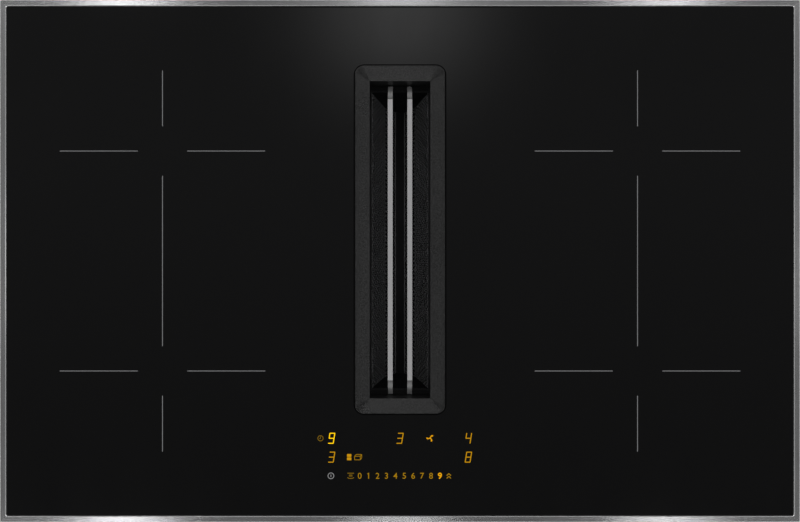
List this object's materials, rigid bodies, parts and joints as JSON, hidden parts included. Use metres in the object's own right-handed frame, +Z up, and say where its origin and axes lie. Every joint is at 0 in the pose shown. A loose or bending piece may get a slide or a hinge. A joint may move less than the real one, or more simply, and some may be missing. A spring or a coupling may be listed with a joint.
{
  "type": "downdraft induction cooktop",
  "caption": "Built-in induction cooktop in a steel trim, with a sloping central air inlet, two steel bars, lift-out filter and tray, and a blower housing below.",
  "frame": {"origin": "middle of the worktop cut-out, on the worktop's top surface, so that the gasket rests at z = 0", "axes": "+X to the right of the cook, +Y to the rear (the exhaust collar points that way), +Z up out of the worktop"},
  "size_m": [0.806, 0.526, 0.206],
  "materials": {
    "ceramic_glass": "polished",
    "brushed_steel": "satin",
    "seal_black": "matte",
    "cover_black": "satin",
    "moulding_black": "matte",
    "filter_steel": "satin",
    "galvanised_sheet": "satin",
    "zinc_steel": "satin",
    "housing_grey": "matte",
    "wheel_grey": "satin",
    "motor_steel": "satin",
    "bearing_steel": "polished",
    "coil_copper": "satin",
    "ferrite": "matte",
    "aluminium_sheet": "satin",
    "mica": "matte",
    "sensor_white": "matte",
    "circuit_board": "satin",
    "part_black": "satin",
    "choke_copper": "satin",
    "fan_black": "satin",
    "terminal_white": "satin",
    "spring_steel": "polished"
  },
  "bodies": {
    "root": {"trim_frame": "brushed_steel", "edge_seal": "seal_black", "worktop_gasket": "seal_black", "glass_top": "ceramic_glass", "well": "moulding_black", "well_seal": "seal_black", "base_tray": "galvanised_sheet", "ferrite_bars": "ferrite", "coil_insulation": "mica", "coil_sensors": "sensor_white", "carrier_posts": "moulding_black", "coil_carriers": "aluminium_sheet", "power_board_left": "circuit_board", "power_board_right": "circuit_board", "mains_filter_board": "circuit_board", "blower_board": "circuit_board", "heat_sink_left": "aluminium_sheet", "heat_sink_right": "aluminium_sheet", "power_switches": "part_black", "capacitors": "part_black", "chokes": "choke_copper", "fan_frames": "fan_black", "display_frame": "moulding_black", "display_board": "circuit_board", "digit_modules": "part_black", "touch_springs": "spring_steel", "terminal_box": "housing_grey", "terminal_block": "terminal_white", "terminal_lid": "housing_grey", "cable_gland": "part_black", "housing_lid": "housing_grey", "housing_shell": "housing_grey", "scroll_base": "wheel_grey", "scroll_cover": "wheel_grey", "motor_plate": "zinc_steel", "motor_stator": "motor_steel", "motor_bearings": "bearing_steel", "blower_dampers": "seal_black", "outlet_duct": "housing_grey", "clamp_brackets": "zinc_steel", "clamp_screws": "zinc_steel", "coil_front_left": "coil_copper", "coil_front_right": "coil_copper", "coil_rear_left": "coil_copper", "coil_rear_right": "coil_copper"},
    "drip_tray": {"drip_tray": "moulding_black"},
    "grease_filter": {"filter_frame": "filter_steel", "filter_mesh_left": "filter_steel", "filter_mesh_right": "filter_steel"},
    "inlet_cover": {"cover_frame": "cover_black", "bar_cap_left": "brushed_steel", "bar_cap_right": "brushed_steel"},
    "blower_rotor": {"blower_wheel": "wheel_grey", "motor_rotor": "motor_steel"},
    "cooling_fan_left": {"fan_rotor_left": "fan_black"},
    "cooling_fan_right": {"fan_rotor_right": "fan_black"},
    "clamp_front_left": {"clamp_arm_front_left": "zinc_steel"},
    "clamp_front_right": {"clamp_arm_front_right": "zinc_steel"},
    "clamp_rear_left": {"clamp_arm_rear_left": "zinc_steel"},
    "clamp_rear_right": {"clamp_arm_rear_right": "zinc_steel"}
  },
  "joints": [
    {"name": "drip_tray_lift", "type": "slide", "parent": "root", "child": "drip_tray", "axis": [0, 0, 1], "range_m": [0, 0.205]},
    {"name": "filter_lift", "type": "slide", "parent": "drip_tray", "child": "grease_filter", "axis": [0, 0, 1], "range_m": [0, 0.165]},
    {"name": "cover_lift", "type": "slide", "parent": "grease_filter", "child": "inlet_cover", "axis": [0, 0, 1], "range_m": [0, 0.045]},
    {"name": "blower_spin", "type": "hinge", "parent": "root", "child": "blower_rotor", "pos_m": [0.1785, -0.003, -0.13], "axis": [0, 0, 1], "continuous": true},
    {"name": "cooling_fan_left_spin", "type": "hinge", "parent": "root", "child": "cooling_fan_left", "pos_m": [-0.2393, -0.19, -0.0385], "axis": [0, 0, 1], "continuous": true},
    {"name": "cooling_fan_right_spin", "type": "hinge", "parent": "root", "child": "cooling_fan_right", "pos_m": [0.2393, -0.19, -0.0385], "axis": [0, 0, 1], "continuous": true},
    {"name": "clamp_rear_left_swing", "type": "hinge", "parent": "root", "child": "clamp_rear_left", "pos_m": [-0.345, 0.23655, -0.0365], "axis": [0, 0, 1], "range_deg": [0, 90]},
    {"name": "clamp_rear_right_swing", "type": "hinge", "parent": "root", "child": "clamp_rear_right", "pos_m": [0.305, 0.23655, -0.0365], "axis": [0, 0, 1], "range_deg": [0, 90]},
    {"name": "clamp_front_left_swing", "type": "hinge", "parent": "root", "child": "clamp_front_left", "pos_m": [-0.305, -0.23655, -0.0365], "axis": [0, 0, 1], "range_deg": [0, 90]},
    {"name": "clamp_front_right_swing", "type": "hinge", "parent": "root", "child": "clamp_front_right", "pos_m": [0.345, -0.23655, -0.0365], "axis": [0, 0, 1], "range_deg": [0, 90]}
  ]
}
